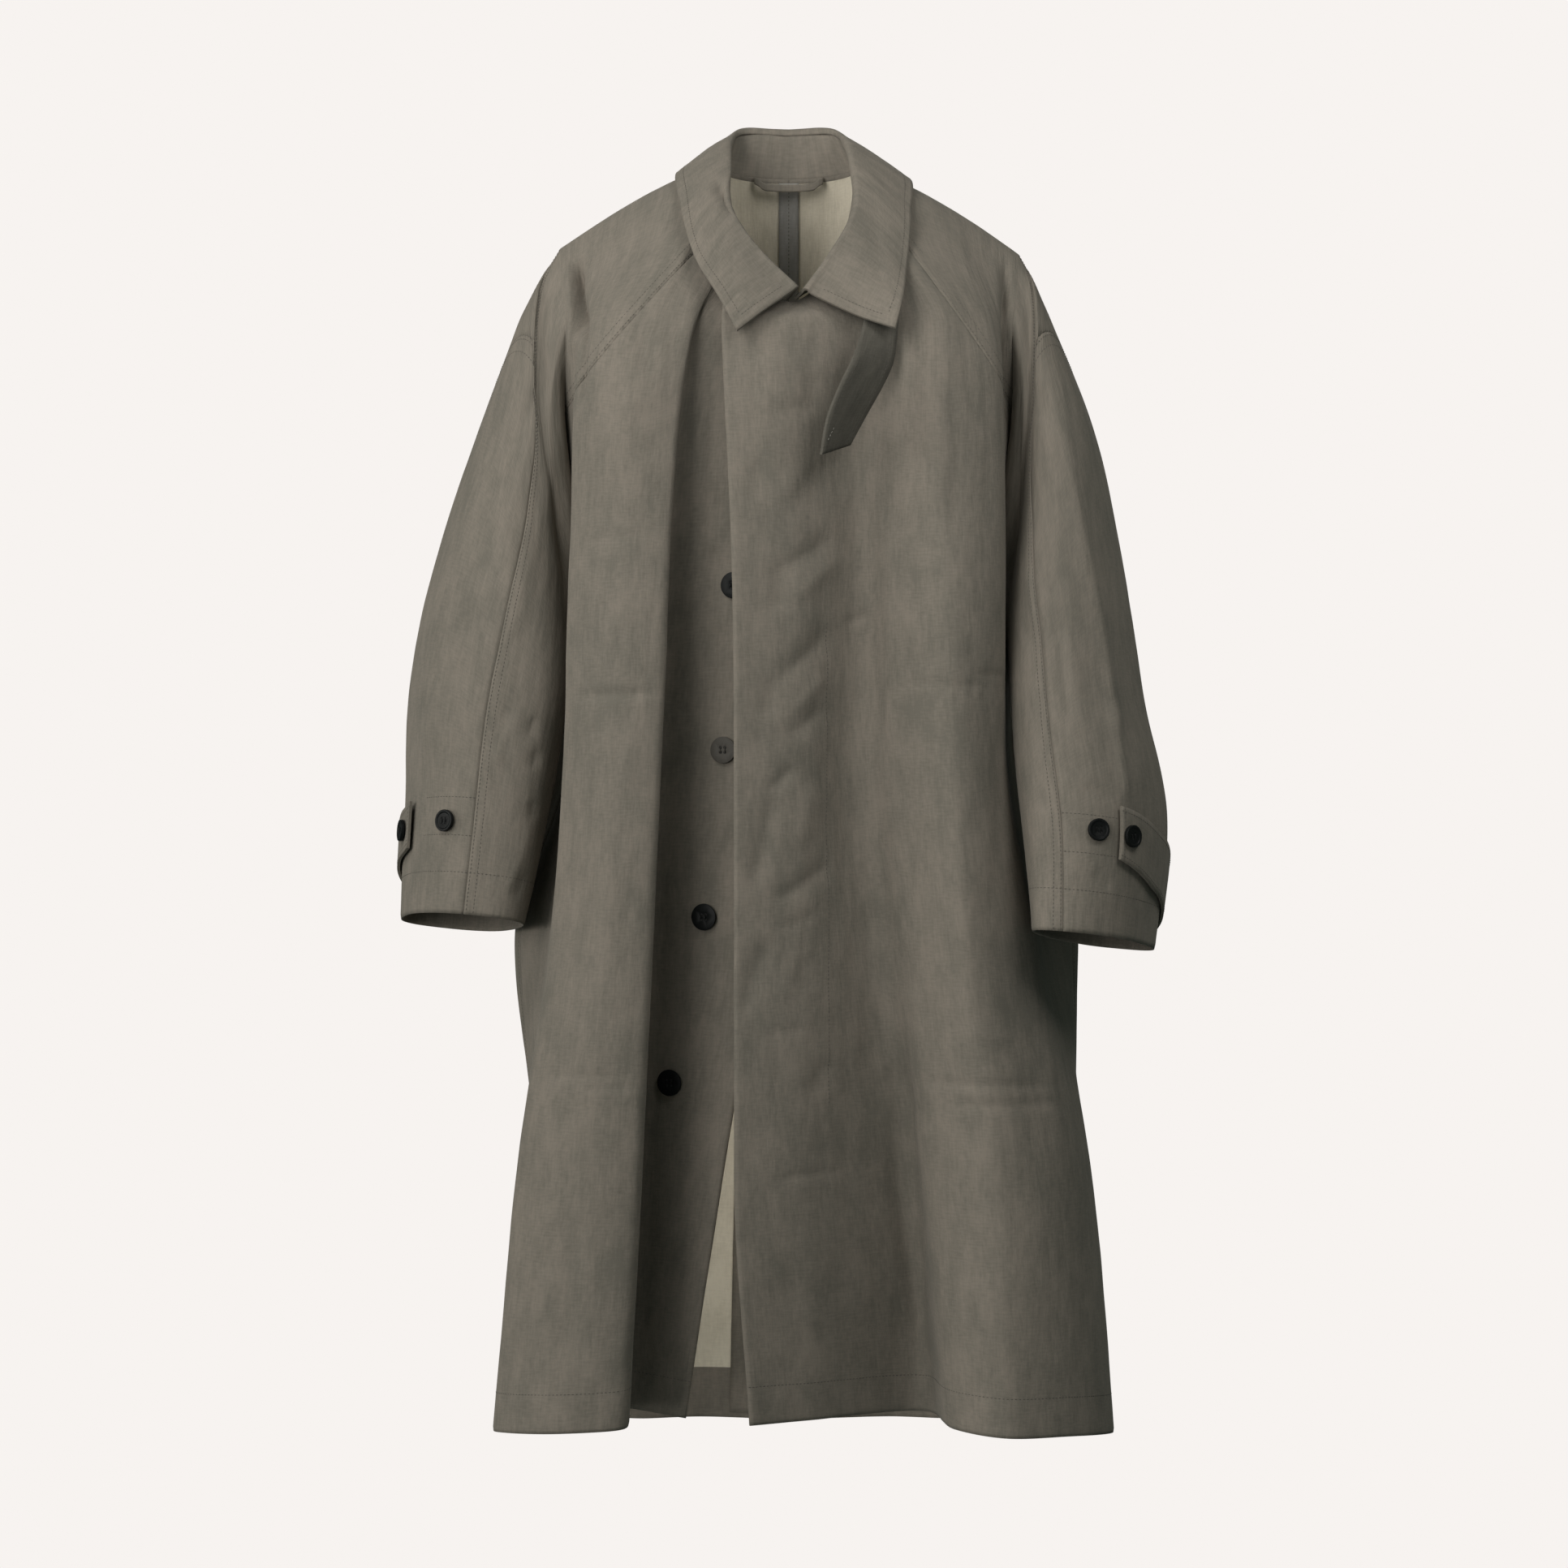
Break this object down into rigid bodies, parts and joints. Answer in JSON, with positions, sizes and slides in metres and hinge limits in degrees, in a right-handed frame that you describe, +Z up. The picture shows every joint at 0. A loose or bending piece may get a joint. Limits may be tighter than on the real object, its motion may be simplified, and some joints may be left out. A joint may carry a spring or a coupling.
{
  "type": "coat",
  "caption": "Hollow knee-length raglan coat with turn-down collar, hanging throat tab, overlapping fly front, button cuff straps and open hem, filled out as on a wearer.",
  "frame": {"origin": "middle of the neck opening, at the height of the shoulders' neck ends, where the wearer's shoulders hold the coat", "axes": "+X to the wearer's left, the front faces -Y, +Z up along the coat's length"},
  "size_m": [0.6615, 0.3575, 1.1504],
  "materials": {
    "outer_cloth": "matte grey-brown bonded cotton, beige inside",
    "seam_tape": "matte dark woven tape",
    "button": "satin near-black"
  },
  "bodies": {
    "root": {"back_left": "outer_cloth", "back_right": "outer_cloth", "collar_fall": "outer_cloth", "collar_stand": "outer_cloth", "cuff_strap_left": "outer_cloth", "cuff_strap_right": "outer_cloth", "front_left": "outer_cloth", "front_right": "outer_cloth", "hanger_loop": "outer_cloth", "sleeve_back_left": "outer_cloth", "sleeve_back_right": "outer_cloth", "sleeve_front_left": "outer_cloth", "sleeve_front_right": "outer_cloth", "throat_tab": "outer_cloth", "vent_underlap": "outer_cloth", "back_seam_tape": "seam_tape", "front_button_1": "button", "front_button_2": "button", "front_button_3": "button", "front_button_4": "button", "cuff_button_left": "button", "cuff_button_right": "button", "strap_button_left": "button", "strap_button_right": "button"}
  },
  "joints": []
}
